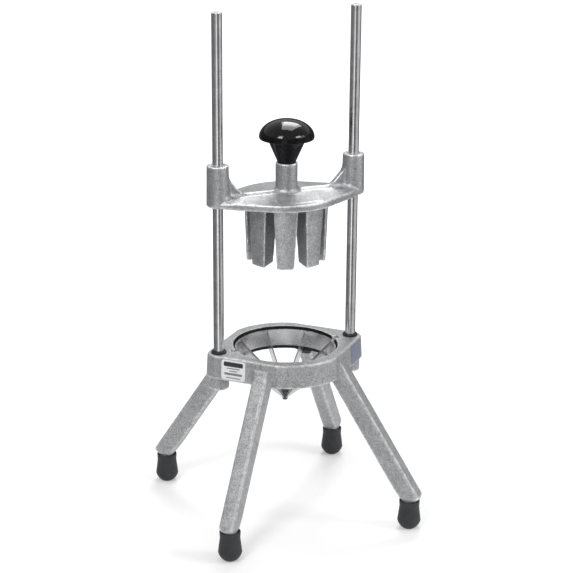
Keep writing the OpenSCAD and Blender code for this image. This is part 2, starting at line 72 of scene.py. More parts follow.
# Guide rods and bumpers
ROD_X, ROD_R, ROD_TOP, ROD_CHAMFER = 66.0, 4.7625, 476.3, 0.4
THREAD_R, ROD_BOTTOM, ROD_SHOULDER = 3.9, 131.7, 155.3
BUMPER_BORE, BUMPER_R, BUMPER_H = 4.85, 7.0, 2.2

# Base casting: ring, opening, nut bosses, legs
BASE_TOP, BASE_BOTTOM, DRAFT = 163.3, 141.3, 0.055
RING_R, FLAT_R, TAB_R = 60.0, 57.669, 11.0
OPENING_R, LEDGE_R, LEDGE_TOP = 48.5, 46.0, 144.8
NOTCH_START, NOTCH_END, NOTCH_HALF_W, EAR_T = 45, 54.0, 3.3, 2.6
NUT_BOSS_R, NUT_BOSS_BOTTOM, NUT_RECESS_R, NUT_RECESS_TOP = 9.45, 128.8, 7.4, 140.3
HOLE_PLAY = 0.1
LEG_ANGLE, LEG_END_R, LEG_END_Z, LEG_RUN = radians(45.6), 129.8, 29.3, 0.6545
LEG_T, LEG_HALF_W, LEG_EDGE_R, HEEL_R, LEG_TOP = 17.9, 7.25, 2.0, 139.2, 154.5
LEG_CROWN_T, LEG_CROWN_W = 0.15, 0.3
ANKLE_R, ANKLE_FLARE, ANKLE_SQUARE = 8.8, 0.9, 0.743

# Feet: FOOT_OUT is how far each stands from the middle
FOOT_OUT, FOOT_H, STUB_R, SOLE = 127.1, 28.3, 6.8, 7.0
FOOT_FLAT_R, FOOT_SIDE_R, FOOT_DOME_R, FOOT_DOME_H = 4.75, 10.9, 11.2, 11.84
STUB_GAP, SOCKET_PLAY = 0.3, 0.05

# Pusher head: plate, panel, bosses, gussets, fingers, holes
PLATE_Z, RIM_Z, RIDGE_Z = 302.3, 308.8, 312.8
EDGE_R, EDGE_Y, END_R, END_START, END_SPAN = 53.0, -9.0, 9.8, 56, 8
ROOF_RISE, BEAD_R, HEAD_FILLET = 2.6, 3.4, 5.0
PANEL_OUT, PANEL_HALF_L, PANEL_HALF_W, PANEL_CORNER = 31, 22, 6, 1.5
PANEL_RISE, PANEL_HALF_T, PANEL_SLOPE = 0.6, 0.75, atan(4 / 44)
BOSS_R, BOSS_TAPER, BOSS_H, BOSS_TOP = 10.3, 0.4, 38.4, 340.7
HANDLE_R, HANDLE_TOP = 10.0, 337.8
GUSSET_START, GUSSET_RUN, GUSSET_RISE, GUSSET_HALF_T = 9.1, 16.5, 26.5, 3.0
FINGER_LOW, FINGER_TIP_R, FINGER_ROOT_R = 246.8, 36.2, 38.2
SLOT_HALF_W, SLOT_TAPER = 6.15, 2.45
HEAD_BORE_R, BUSHING_SEAT_R, BUSHING_SEAT_L = 5.46, 6.4, 12.6
STUD_HOLE_R, STUD_HOLE_DEPTH = 4.05, 21

# Knob
KNOB_R, NECK_TOP, KNOB_TOP, RIM_LIFT, DOME_H = 25.1, 358.8, 377.5, 2.5, 16.2

# Blades
BLADE_RING_TOP, BLADE_BORE, BLADE_LOW, BLADE_SLOPE = 160.8, 45.4, 145.3, radians(40)
BLADE_IN, BLADE_OUT, BLADE_H, BLADE_HALF_T = 3.35, 46.45, 14, 0.4
BEVEL_H, EDGE_HALF_T = 2.4, 0.05

# Labels: _AT is how far along its flat of the ring each one is, and _FACE the flat's angle
LABEL_HALF_W, LABEL_HALF_H, LABEL_Z = 12, 9.4, (BASE_TOP + BASE_BOTTOM) / 2
FRONT_AT, FRONT_FACE, FRONT_T, INK_T = -27.0, radians(225), 0.26, 0.03
END_AT, END_FACE, END_T = 33.5, radians(-45), 0.28

# How far a form reaches into the one that carries it
SINK = 2


# ---------------------------------------------------------------- meshes

def piece(name, verts, faces, body, slot, replaces, sharp=35.0):
    """A mesh piece from points in millimetres, riding on a body and standing for CAD nodes."""
    mesh = bpy.data.meshes.new(name)
    mesh.from_pydata([tuple(c * MM for c in v) for v in verts], [], faces)
    work = bmesh.new()
    work.from_mesh(mesh)
    bmesh.ops.remove_doubles(work, verts=work.verts, dist=1e-6)
    bmesh.ops.recalc_face_normals(work, faces=work.faces)
    work.to_mesh(mesh)
    work.free()
    mesh.polygons.foreach_set("use_smooth", [True] * len(mesh.polygons))
    mesh.set_sharp_from_angle(angle=radians(sharp))
    obj = bpy.data.objects.new(name, mesh)
    bpy.context.scene.collection.objects.link(obj)
    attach(obj, body)
    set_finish(obj, slot)
    if replaces:
        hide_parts(*replaces)
    return obj


def rounded(points, radii, steps=6):
    """A polyline in (r, z) with its inner corners rounded by the given radii."""
    out = [points[0]]
    for i in range(1, len(points) - 1):
        p, a, b = (Vector(points[j]) for j in (i, i - 1, i + 1))
        r = radii.get(i, 0)
        if not r:
            out.append(tuple(p))
            continue
        da, db = (a - p).normalized(), (b - p).normalized()
        half = da.angle(db) / 2
        reach = min(r / tan(half), (a - p).length * 0.49, (b - p).length * 0.49)
        r = reach * tan(half)
        centre = p + (da + db).normalized() * (r / sin(half))
        start, end = p + da * reach - centre, p + db * reach - centre
        turn = start.angle_signed(end)
        for k in range(steps + 1):
            f = -turn * k / steps
            c, s = cos(f), sin(f)
            out.append((centre.x + start.x * c - start.y * s,
                        centre.y + start.x * s + start.y * c))
    out.append(points[-1])
    return out


def lathe(name, profile, centre, body, slot, replaces, segments=96, loop=False):
    """A turned piece. The profile runs from axis to axis, or is a closed loop off the axis."""
    if not FINE:
        segments = segments // 2
    turns = [2 * pi * k / segments for k in range(segments)]
    verts, rings = [], []
    for r, z in profile:
        if r < 1e-6:
            rings.append([len(verts)] * segments)
            verts.append((centre[0], centre[1], z))
        else:
            rings.append(range(len(verts), len(verts) + segments))
            verts += [(centre[0] + r * cos(t), centre[1] + r * sin(t), z) for t in turns]
    faces = []
    pairs = list(zip(rings, rings[1:])) + ([(rings[-1], rings[0])] if loop else [])
    for low, high in pairs:
        for k in range(segments):
            n = (k + 1) % segments
            face = list(dict.fromkeys((low[k], low[n], high[n], high[k])))
            if len(face) > 2:
                faces.append(face)
    return piece(name, verts, faces, body, slot, replaces)


def cast(name, field, low, high, step, body, slot, replaces):
    """A casting from a distance field in millimetres: a surface net, moved onto the surface."""
    if not FINE:
        step *= 1.7
    axes = [np.arange(a - 2 * step, b + 2 * step, step) for a, b in zip(low, high)]
    x, y, z = np.meshgrid(*axes, indexing="ij", sparse=True)
    d = field(x, y, z).astype(np.float32)
    inside = d < 0

    # One point in each cell that the surface crosses, at the middle of its crossed edges
    nx, ny, nz = (n - 1 for n in d.shape)
    corners = [(i, j, k) for i in (0, 1) for j in (0, 1) for k in (0, 1)]
    total = sum(inside[i:nx + i, j:ny + j, k:nz + k].astype(np.int8) for i, j, k in corners)
    cells = np.argwhere((total > 0) & (total < 8))
    index = np.full((nx, ny, nz), -1, np.int32)
    index[tuple(cells.T)] = np.arange(len(cells))
    value = [d[tuple((cells + c).T)].astype(float) for c in corners]
    spot, count = np.zeros((len(cells), 3)), np.zeros(len(cells))
    for a in range(8):
        for b in range(a + 1, 8):
            ca, cb = np.array(corners[a]), np.array(corners[b])
            if np.abs(ca - cb).sum() != 1:
                continue
            crossed = (value[a] < 0) != (value[b] < 0)
            gap = np.where(crossed, value[a] - value[b], 1)
            t = np.where(crossed, value[a] / gap, 0)
            spot += crossed[:, None] * (ca + t[:, None] * (cb - ca))
            count += crossed
    verts = np.array([ax[0] for ax in axes]) + step * (cells + spot / count[:, None])

    # One face across each grid edge that the surface crosses
    faces = []
    for axis in range(3):
        a, b = (axis + 1) % 3, (axis + 2) % 3
        near = [slice(None)] * 3
        far = [slice(None)] * 3
        near[axis], far[axis] = slice(0, -1), slice(1, None)
        start, end = inside[tuple(near)], inside[tuple(far)]
        edges = np.argwhere(start != end)
        edges = edges[(edges[:, a] > 0) & (edges[:, b] > 0)]
        outward = start[tuple(edges.T)]
        quad = []
        for ka, kb in ((-1, -1), (0, -1), (0, 0), (-1, 0)):
            cell = edges.copy()
            cell[:, a] += ka
            cell[:, b] += kb
            quad.append(index[tuple(cell.T)])
        quad = np.stack(quad, 1)
        faces.append(np.where(outward[:, None], quad, quad[:, ::-1]))
    faces = np.concatenate(faces)

    # Each point moves along the field's slope, by about a third of a cell at most each time
    e = 0.05
    for _ in range(3):
        p = [verts[:, i] for i in range(3)]
        here = field(*p)
        slope = np.stack([field(*[p[j] + e * (i == j) for j in range(3)])
                          - field(*[p[j] - e * (i == j) for j in range(3)])
                          for i in range(3)], 1) / (2 * e)
        size = np.maximum((slope ** 2).sum(1), 0.3)
        move = slope * (here / size)[:, None]
        length = np.linalg.norm(move, axis=1)
        move *= np.minimum(1, 0.35 * step / np.maximum(length, 1e-9))[:, None]
        verts = verts - move
    return piece(name, verts.tolist(), faces.tolist(), body, slot, replaces, sharp=50.0)


def blend_union(a, b, r):
    """Union of two fields with a round fillet between them."""
    return np.maximum(r, np.minimum(a, b)) - np.hypot(np.maximum(r - a, 0), np.maximum(r - b, 0))


def blend_cut(a, b, r):
    """Intersection of two fields with a round edge between them."""
    return np.minimum(-r, np.maximum(a, b)) + np.hypot(np.maximum(r + a, 0), np.maximum(r + b, 0))


# ---------------------------------------------------------------- base casting

def base_field(x, y, z):
    """Distance to the base casting, mirrored from one quarter."""
    x, y = np.abs(x), np.abs(y)
    rho, rod = np.hypot(x, y), np.hypot(x - ROD_X, y)

    # Ring with its flats and tabs, and the nut bosses under it
    flat = (x + y) * S2 - FLAT_R
    tab = np.maximum(y - FLAT_R * S2, x - ROD_X - TAB_R * S2)
    plan = np.maximum(flat, np.minimum(rho - RING_R, tab))
    plan = np.minimum(plan, rod - TAB_R)
    middle = (BASE_TOP + BASE_BOTTOM) / 2
    plan = plan + DRAFT * (z - middle)
    body = blend_cut(plan, np.abs(z - middle) - (BASE_TOP - middle), r=1.4)
    boss_ends = np.maximum(NUT_BOSS_BOTTOM - z, z - BASE_BOTTOM - SINK)
    boss = blend_cut(rod - NUT_BOSS_R, boss_ends, r=1.9)
    body = blend_union(body, boss, r=1.8)

    # Leg: u runs outwards along it, v across it, and t through its thickness
    u = x * cos(LEG_ANGLE) + y * sin(LEG_ANGLE)
    v = np.abs(y * cos(LEG_ANGLE) - x * sin(LEG_ANGLE))
    t = np.abs(u - LEG_END_R + LEG_RUN * (z - LEG_END_Z)) * cos(atan(LEG_RUN))
    half_w = LEG_HALF_W - LEG_CROWN_W * np.minimum(t / (LEG_T / 2), 1) ** 2
    half_t = LEG_T / 2 - LEG_CROWN_T * np.minimum(v / LEG_HALF_W, 1) ** 2
    qt, qv = t - half_t + LEG_EDGE_R, v - half_w + LEG_EDGE_R
    leg = (np.hypot(np.maximum(qt, 0), np.maximum(qv, 0))
           + np.minimum(np.maximum(qt, qv), 0) - LEG_EDGE_R)
    leg = blend_cut(leg, u - HEEL_R, r=3.0)
    ankle = np.hypot(u - FOOT_OUT, v) - ANKLE_R - ANKLE_FLARE * (z - LEG_END_Z)
    leg = blend_cut(leg, ankle * ANKLE_SQUARE, r=2.2)
    leg = np.maximum(leg, np.maximum(z - LEG_TOP, LEG_END_Z - SINK - z))
    body = blend_union(body, leg, r=3.2)
    stub_ends = np.maximum(SOLE + STUB_GAP - z, z - LEG_END_Z - SINK)
    stub = np.maximum(np.hypot(u - FOOT_OUT, v) - STUB_R, stub_ends)
    body = blend_union(body, stub, r=0.6)

    # Opening with its ledge, notches for the blade ring's ears, holes for rods and nuts
    opening = np.minimum(np.maximum(rho - OPENING_R, LEDGE_TOP - z), rho - LEDGE_R)
    body = blend_cut(body, -opening, r=0.5)
    notch = np.maximum(np.maximum(NOTCH_START - x, x - NOTCH_END),
                       np.maximum(y - NOTCH_HALF_W, BLADE_RING_TOP - EAR_T - z))
    body = blend_cut(body, -notch, r=0.4)
    hole = np.minimum(np.maximum(rod - ROD_R - HOLE_PLAY, ROD_SHOULDER - z),
                      rod - THREAD_R - HOLE_PLAY)
    hole = np.minimum(hole, np.maximum(rod - NUT_RECESS_R, z - NUT_RECESS_TOP))
    return blend_cut(body, -hole, r=0.3)


cast("base_casting", base_field, (-102, -104, 7), (102, 104, 165), 1.0,
     "frame", "base_casting", ["base_frame"])


# ---------------------------------------------------------------- pusher head casting

# The straight flank that touches the plate's edge arc and its end arc
TURN = atan(-EDGE_Y / ROD_X) + np.arccos((EDGE_R - END_R) / hypot(ROD_X, EDGE_Y))
NX, NY = cos(TURN), sin(TURN)
TANGENT = NY * EDGE_Y + EDGE_R


def plate_outline(x, y):
    """Distance to the plate's outline: arcs front and back, straight flanks, round ends."""
    side_a = NX * (y - EDGE_Y) - NY * x
    side_b = NX * y - NY * (x - ROD_X)
    arc = np.hypot(x, y - EDGE_Y) - EDGE_R
    end = np.hypot(x - ROD_X, y) - END_R
    flank = NX * x + NY * y - TANGENT
    return np.where(side_a >= 0, arc, np.where(side_b <= 0, end, flank))


def half_width(x):
    """Half of the plate's width at a distance from its middle."""
    arc = np.sqrt(np.maximum(EDGE_R ** 2 - x ** 2, 0)) + EDGE_Y
    return np.maximum(np.where(x < EDGE_R * NX, arc, (TANGENT - NX * x) / NY), 4)


def head_field(x, y, z):
    """Distance to the pusher head. All but the panel is mirrored from one quarter."""
    front = y
    x, y = np.abs(x), np.abs(y)
    rod, rho = np.hypot(x - ROD_X, y), np.hypot(x, y)

    # Plate, crowned to its ridge, with a bead along the ridge
    roof = RIM_Z + ROOF_RISE * (1 - np.clip(y / half_width(x), 0, 1)) ** 1.3
    plate = blend_cut(plate_outline(x, y) + 0 * z, np.maximum(PLATE_Z - z, z - roof),
                      r=1.5 + 1.6 * np.clip((x - END_START) / END_SPAN, 0, 1))
    bead = np.maximum(np.hypot(y, z - RIDGE_Z + BEAD_R) - BEAD_R, x - ROD_X)
    body = blend_union(plate, bead, r=3.0)

    # Raised bare panel on the front slope
    out, lift = front + PANEL_OUT, z - RIM_Z - PANEL_RISE
    across = out * cos(PANEL_SLOPE) + lift * sin(PANEL_SLOPE)
    up = lift * cos(PANEL_SLOPE) - out * sin(PANEL_SLOPE)
    qx, qy = x - PANEL_HALF_L + PANEL_CORNER, np.abs(across) - PANEL_HALF_W + PANEL_CORNER
    panel = (np.hypot(np.maximum(qx, 0), np.maximum(qy, 0))
             + np.minimum(np.maximum(qx, qy), 0) - PANEL_CORNER)
    body = blend_union(body, blend_cut(panel, np.abs(up) - PANEL_HALF_T, r=0.4), r=0.5)

    # Rod bosses, filleted on their inner side only, and the handle boss
    boss_r = BOSS_R - BOSS_TAPER * np.clip((z - PLATE_Z) / BOSS_H, 0, 1)
    boss = blend_cut(blend_cut(rod - boss_r, z - BOSS_TOP, r=0.9), PLATE_Z - z, r=3.2)
    handle = blend_cut(rho - HANDLE_R, np.maximum(PLATE_Z - z, z - HANDLE_TOP), r=0.7)
    body = blend_union(body, boss,
                       r=0.05 + HEAD_FILLET * np.clip((ROD_X - x) / HEAD_FILLET, 0, 1))
    body = blend_union(body, handle, r=HEAD_FILLET)

    # Gussets, cut off level with the plate's underside so that no fillet swells below it
    f = np.clip((ROD_X - GUSSET_START - x) / GUSSET_RUN, -0.3, 1.4)
    low = RIDGE_Z - 1.5
    crest = low + (PLATE_Z + GUSSET_RISE - low) * (1 - f) * (1 - 0.25 * f)
    gusset_ends = np.maximum((z - crest) * 0.7, np.maximum(x - ROD_X, PLATE_Z + SINK - z))
    gusset = blend_cut(y - GUSSET_HALF_T, gusset_ends, r=1.3)
    body = np.maximum(blend_union(body, gusset, r=2.6), PLATE_Z - z)

    # Eight fingers: one round shape, slotted for the blades
    rise = (z - FINGER_LOW) / (PLATE_Z - FINGER_LOW)
    slot = SLOT_HALF_W - SLOT_TAPER * rise
    finger = rho - (FINGER_TIP_R + (FINGER_ROOT_R - FINGER_TIP_R) * rise)
    finger = blend_cut(finger, np.maximum(FINGER_LOW - z, z - PLATE_Z - SINK), r=0.7)
    for wall in (y, x, np.abs(x - y) * S2):
        finger = blend_cut(finger, slot - wall, r=0.7)
    body = blend_union(body, finger, r=1.6)

    # Holes for the rods, the bushings and the stud
    seat = np.minimum(z - PLATE_Z - BUSHING_SEAT_L, BOSS_TOP - BUSHING_SEAT_L - z)
    hole = np.minimum(rod - HEAD_BORE_R, np.maximum(rod - BUSHING_SEAT_R, seat))
    hole = np.minimum(hole, np.maximum(rho - STUD_HOLE_R, HANDLE_TOP - STUD_HOLE_DEPTH - z))
    return blend_cut(body, -hole, r=0.3)


cast("head_casting", head_field, (-77, -45, 246), (77, 45, 343), 0.85,
     "head", "head_casting", ["pusher_head"])


# ---------------------------------------------------------------- turned pieces

# Each profile is a list of corners as (radius, height), with the radii that round them
rod_profile = rounded([
    (0, ROD_BOTTOM), (THREAD_R, ROD_BOTTOM), (THREAD_R, ROD_SHOULDER), (ROD_R, ROD_SHOULDER),
    (ROD_R, ROD_TOP - ROD_CHAMFER), (ROD_R - ROD_CHAMFER, ROD_TOP), (0, ROD_TOP)],
    {1: 0.4, 4: 0.2, 5: 0.2}, 3)
bumper_profile = rounded([
    (BUMPER_BORE, BASE_TOP + 1.1), (BUMPER_BORE, BASE_TOP), (BUMPER_R, BASE_TOP),
    (BUMPER_R, BASE_TOP + BUMPER_H), (BUMPER_BORE, BASE_TOP + BUMPER_H),
    (BUMPER_BORE, BASE_TOP + 1.2)],
    {1: 0.2, 2: 0.9, 3: 1.1, 4: 0.4})
start, end = np.arcsin(FOOT_FLAT_R / FOOT_DOME_R), np.arcsin(FOOT_SIDE_R / FOOT_DOME_R)
tread = [(FOOT_DOME_R * sin(t), FOOT_DOME_H * (cos(start) - cos(t)))
         for t in np.linspace(start, end, 12)]
foot_wall = rounded([
    tread[-2], tread[-1], (9.2, 22.0), (9.5, 26.0), (9.5, FOOT_H), (8.5, FOOT_H),
    (STUB_R + SOCKET_PLAY, FOOT_H - 2.2), (STUB_R + SOCKET_PLAY, SOLE), (0, SOLE)],
    {1: 0.9, 2: 6.0, 3: 3.0, 4: 0.5, 5: 0.3, 6: 0.6}, 5)

for side, word in ((-1, "left"), (1, "right")):
    lathe("bar_" + word, rod_profile, (side * ROD_X, 0),
          "frame", "rod_steel", ["guide_rod_" + word])
    lathe("bumper_" + word, bumper_profile, (side * ROD_X, 0),
          "frame", "bumper_rubber", ["rod_bumper_" + word], 72, loop=True)
    for depth, place in ((-1, "front"), (1, "back")):
        a = depth * LEG_ANGLE
        lathe(f"shoe_{place}_{word}", [(0, 0)] + tread[:-2] + foot_wall,
              (side * FOOT_OUT * cos(a), FOOT_OUT * sin(a)),
              "frame", "foot_rubber", [f"foot_{place}_{word}"], 72)

neck = rounded([
    (0, HANDLE_TOP), (8.5, HANDLE_TOP), (8.8, HANDLE_TOP + 1.6), (16.8, NECK_TOP - 1.2),
    (17.8, NECK_TOP - 0.1), (22.8, NECK_TOP + 0.3), (24.7, NECK_TOP + 0.9),
    (KNOB_R, NECK_TOP + RIM_LIFT)],
    {1: 0.5, 2: 2.0, 3: 1.2, 4: 0.6, 6: 0.8})
dome = [(KNOB_R * cos(radians(a)), NECK_TOP + RIM_LIFT + DOME_H * sin(radians(a)))
        for a in range(3, 90, 3)]
knob_grip = lathe("knob_grip", neck + dome + [(0, KNOB_TOP)], (0, 0),
                  "head", "knob_plastic", ["knob"], 128)


# ---------------------------------------------------------------- blades

for i in range(8):
    a = i * pi / 4
    verts, faces = [], []
    for r in (BLADE_IN, 20, 36, BLADE_BORE, BLADE_OUT):
        low = BLADE_LOW - (BLADE_BORE - r) * tan(BLADE_SLOPE)
        high = min(low + BLADE_H, BLADE_RING_TOP)
        for w, z in ((-BLADE_HALF_T, low), (BLADE_HALF_T, low), (BLADE_HALF_T, high - BEVEL_H),
                     (EDGE_HALF_T, high), (-EDGE_HALF_T, high), (-BLADE_HALF_T, high - BEVEL_H)):
            verts.append((r * cos(a) - w * sin(a), r * sin(a) + w * cos(a), z))
    for s in range(4):
        for k in range(6):
            n = (k + 1) % 6
            faces.append((6 * s + k, 6 * s + n, 6 * s + 6 + n, 6 * s + 6 + k))
    faces += [tuple(range(5, -1, -1)), tuple(range(24, 30))]
    piece(f"wedge_blade_{i + 1}", verts, faces, "frame", "blade_steel", [f"blade_{i + 1}"], 10.0)


# ---------------------------------------------------------------- labels

def plate_of(centre, turn, half_w, half_h, corner, out, thick):
    """Points and faces of a thin plate with round corners on a flat of the ring."""
    outline = []
    for cx, cz, start in ((1, 1, 0), (-1, 1, 90), (-1, -1, 180), (1, -1, 270)):
        for k in range(7):
            t = radians(start + 15 * k)
            outline.append((centre[0] + cx * (half_w - corner) + corner * cos(t),
                            centre[1] + cz * (half_h - corner) + corner * sin(t)))
    verts = []
    for depth, shrink in ((out, 1.0), (out + thick * 0.6, 1.0), (out + thick, 0.995)):
        for w, h in outline:
            w, h = centre[0] + (w - centre[0]) * shrink, centre[1] + (h - centre[1]) * shrink
            r = depth - DRAFT * (h - LABEL_Z)
            verts.append((r * cos(turn) - w * sin(turn), r * sin(turn) + w * cos(turn), h))
    n = len(outline)
    faces = [tuple(range(n - 1, -1, -1)), tuple(range(2 * n, 3 * n))]
    for s in (0, n):
        faces += [(s + k, s + (k + 1) % n, s + n + (k + 1) % n, s + n + k) for k in range(n)]
    return verts, faces


def mark(up, half_w, half_h, corner):
    """A printed bar on the front label, at a height above the label's middle."""
    return plate_of((FRONT_AT, LABEL_Z + up), FRONT_FACE, half_w, half_h, corner,
                    FLAT_R + FRONT_T, INK_T)


def merged(parts):
    """Points and faces of several plates as one mesh."""
    verts, faces = [], []
    for v, f in parts:
        faces += [tuple(i + len(verts) for i in face) for face in f]
        verts += v
    return verts, faces


piece("sticker_front", *plate_of((FRONT_AT, LABEL_Z), FRONT_FACE, LABEL_HALF_W, LABEL_HALF_H,
                                 2.4, FLAT_R, FRONT_T),
      "frame", "front_label", ["label_front"], 30)
label_band = piece("sticker_front_bars", *mark(5.6, 9.6, 2.2, 1.2), "frame", "front_label", [], 30)
rules = [mark(up, half_w, 1.1 if half_w > 8 else 0.45, 0.3)
         for up, half_w in ((1.7, 6.5), (-0.7, 4.0), (-3.6, 8.8), (-7.2, 7.4))]
label_rules = piece("sticker_front_rules", *merged(rules), "frame", "front_label", [], 30)
piece("sticker_end", *plate_of((END_AT, LABEL_Z), END_FACE, LABEL_HALF_W, LABEL_HALF_H,
                               2.8, FLAT_R, END_T),
      "frame", "end_label", ["label_end"], 30)


# ---------------------------------------------------------------- materials

class Look:
    """A node material with a Principled shader, textured in the part's own millimetres."""

    def __init__(self, name, **constant):
        self.material = bpy.data.materials.new(name)
        self.material.use_nodes = True
        self.nodes, self.links = self.material.node_tree.nodes, self.material.node_tree.links
        self.shader = next(n for n in self.nodes if n.type == "BSDF_PRINCIPLED")
        for socket, value in constant.items():
            self.shader.inputs[socket.replace("_", " ")].default_value = value
        self.coord = self.add("ShaderNodeTexCoord")

    def add(self, kind, **settings):
        node = self.nodes.new(kind)
        for key, value in settings.items():
            setattr(node, key, value)
        return node

    def link(self, source, node, socket):
        self.links.new(source, node.inputs[socket])

    def scaled(self, scale):
        """Object coordinates times a scale along each axis."""
        mapping = self.add("ShaderNodeMapping")
        mapping.inputs["Scale"].default_value = scale
        self.link(self.coord.outputs["Object"], mapping, "Vector")
        return mapping.outputs["Vector"]

    def noise(self, size_mm, detail=3.0, rough=0.55, stretch=(1, 1, 1), warp=0.0):
        """Noise whose blotches are about size_mm across."""
        place = self.scaled([1000 * s / size_mm for s in stretch])
        node = self.add("ShaderNodeTexNoise")
        node.inputs["Scale"].default_value = 1.0
        node.inputs["Detail"].default_value = detail
        node.inputs["Roughness"].default_value = rough
        node.inputs["Distortion"].default_value = warp
        self.link(place, node, "Vector")
        return node.outputs["Fac"]

    def cells(self, size_mm):
        """Distance to the middle of the nearest of many cells, about size_mm across."""
        place = self.scaled([1000 / size_mm] * 3)
        node = self.add("ShaderNodeTexVoronoi")
        node.inputs["Scale"].default_value = 1.0
        self.link(place, node, "Vector")
        return node.outputs["Distance"]

    def ramp(self, source, low, high, out_low=0.0, out_high=1.0):
        """Low to high becomes out_low to out_high, and stays within them."""
        node = self.add("ShaderNodeMapRange")
        node.clamp = True
        for socket, value in (("From Min", low), ("From Max", high),
                              ("To Min", out_low), ("To Max", out_high)):
            node.inputs[socket].default_value = value
        self.link(source, node, "Value")
        return node.outputs["Result"]

    def math(self, kind, a, b):
        node = self.add("ShaderNodeMath", operation=kind)
        for i, value in enumerate((a, b)):
            if isinstance(value, (int, float)):
                node.inputs[i].default_value = value
            else:
                self.links.new(value, node.inputs[i])
        return node.outputs[0]

    def mix(self, fac, a, b):
        """Colour a where fac is 0 and colour b where it is 1."""
        node = self.add("ShaderNodeMix", data_type="RGBA")
        self.links.new(fac, node.inputs["Factor"])
        for socket, value in ((6, a), (7, b)):
            if isinstance(value, tuple):
                node.inputs[socket].default_value = (*value, 1)
            else:
                self.links.new(value, node.inputs[socket])
        return node.outputs[2]

    def edges(self, low, high):
        """1 on convex edges, from the mesh's own curvature."""
        return self.ramp(self.add("ShaderNodeNewGeometry").outputs["Pointiness"], low, high)

    def bump(self, height, strength, distance_mm):
        """Adds a bump on top of those that the shader already has."""
        node = self.add("ShaderNodeBump")
        node.inputs["Strength"].default_value = strength
        node.inputs["Distance"].default_value = distance_mm * MM
        self.link(height, node, "Height")
        if self.shader.inputs["Normal"].is_linked:
            below = self.shader.inputs["Normal"].links[0].from_socket
            self.links.new(below, node.inputs["Normal"])
        self.link(node.outputs["Normal"], self.shader, "Normal")

    def colour(self, source):
        self.link(source, self.shader, "Base Color")

    def roughness(self, source):
        self.link(source, self.shader, "Roughness")


def cast_metal(name, dark, light, edge_colour, rough, grain_mm, depth, metallic, shade_r=None):
    """Tumbled casting. Inside a given radius, in metres, it has painted shade, nearly black."""
    look = Look(name, Metallic=metallic, Specular_IOR_Level=0.4)
    grain = look.noise(grain_mm, 3, 0.65)
    blotch = look.noise(14, 4, 0.6, warp=0.4)
    patch = look.noise(grain_mm * 3.5, 3, 0.6)
    mottle = look.math("ADD", look.math("MULTIPLY", grain, 0.68), look.math("MULTIPLY", patch, 0.2))
    tone = look.ramp(look.math("ADD", mottle, look.math("MULTIPLY", blotch, 0.12)), 0.40, 0.60)
    # Convex edges are lighter: partly worn polish, partly a painted highlight
    edge = look.math("MULTIPLY", look.edges(0.505, 0.56), look.ramp(patch, 0.35, 0.6, 0.3, 1.0))
    base = look.mix(edge, look.mix(tone, dark, light), edge_colour)
    # Painted shade: near black inside the radius, where the gap round the blade ring is in shade
    if shade_r:
        flat = look.add("ShaderNodeVectorMath", operation="MULTIPLY")
        flat.inputs[1].default_value = (1, 1, 0)
        look.link(look.coord.outputs["Object"], flat, 0)
        reach = look.add("ShaderNodeVectorMath", operation="LENGTH")
        look.link(flat.outputs["Vector"], reach, 0)
        beyond_shade = look.ramp(reach.outputs["Value"], shade_r, shade_r + 0.0005)
        base = look.mix(beyond_shade, (0.02, 0.02, 0.02), base)
    look.colour(base)
    dull = look.ramp(look.math("ADD", grain, blotch), 0.75, 1.25, rough + 0.08, rough - 0.06)
    look.roughness(look.math("SUBTRACT", dull, look.math("MULTIPLY", edge, 0.12)))
    pits = look.ramp(look.cells(grain_mm * 2.0), 0.05, 0.45)
    relief = look.math("ADD", look.math("MULTIPLY", grain, 0.7), look.math("MULTIPLY", pits, 0.3))
    look.bump(relief, 1.0, depth)
    look.bump(blotch, 1.0, depth * 0.8)
    return look.material


def turned_steel(name, dark, light, rough, lines_mm, depth):
    """Bar with fine lines round it."""
    look = Look(name, Metallic=1.0, Anisotropic=0.25)
    lines = look.noise(lines_mm, 2, 0.5, stretch=(0.02, 0.02, 1.0))
    cloud = look.noise(9, 3, 0.5)
    look.colour(look.mix(look.ramp(look.math("ADD", lines, cloud), 0.8, 1.2), dark, light))
    wear = look.math("ADD", lines, look.math("MULTIPLY", cloud, 0.8))
    look.roughness(look.ramp(wear, 0.6, 1.1, rough - 0.03, rough + 0.05))
    look.bump(lines, 0.4, depth)
    return look.material


def sheet_steel(name, dark, light, rough, lines_mm, metallic=1.0):
    """Ground strip and small turned parts, with level lines."""
    look = Look(name, Metallic=metallic)
    lines = look.noise(lines_mm, 3, 0.6, stretch=(0.08, 0.08, 1.0))
    cloud = look.noise(9, 3, 0.5)
    look.colour(look.mix(look.ramp(look.math("ADD", lines, cloud), 0.65, 1.35), dark, light))
    look.roughness(look.ramp(look.math("ADD", lines, cloud), 0.7, 1.3, rough - 0.04, rough + 0.05))
    look.bump(lines, 0.4, 0.02)
    return look.material


def rubber(name, dark, light, rough, grain_mm, depth):
    """Matt moulded rubber, scuffed lighter on its edges."""
    look = Look(name, Specular_IOR_Level=0.4)
    grain, cloud = look.noise(grain_mm, 3, 0.6), look.noise(7, 3, 0.6)
    mottle = look.math("ADD", look.math("MULTIPLY", grain, 0.4), look.math("MULTIPLY", cloud, 0.6))
    tone = look.ramp(mottle, 0.35, 0.65)
    scuff = look.math("MULTIPLY", look.edges(0.51, 0.58), look.ramp(cloud, 0.4, 0.65))
    edge_colour = tuple(min(1, c * 2.2) for c in light)
    look.colour(look.mix(scuff, look.mix(tone, dark, light), edge_colour))
    look.roughness(look.ramp(look.math("ADD", grain, cloud), 0.7, 1.3, rough - 0.07, rough + 0.07))
    look.bump(grain, 0.8, depth)
    return look.material


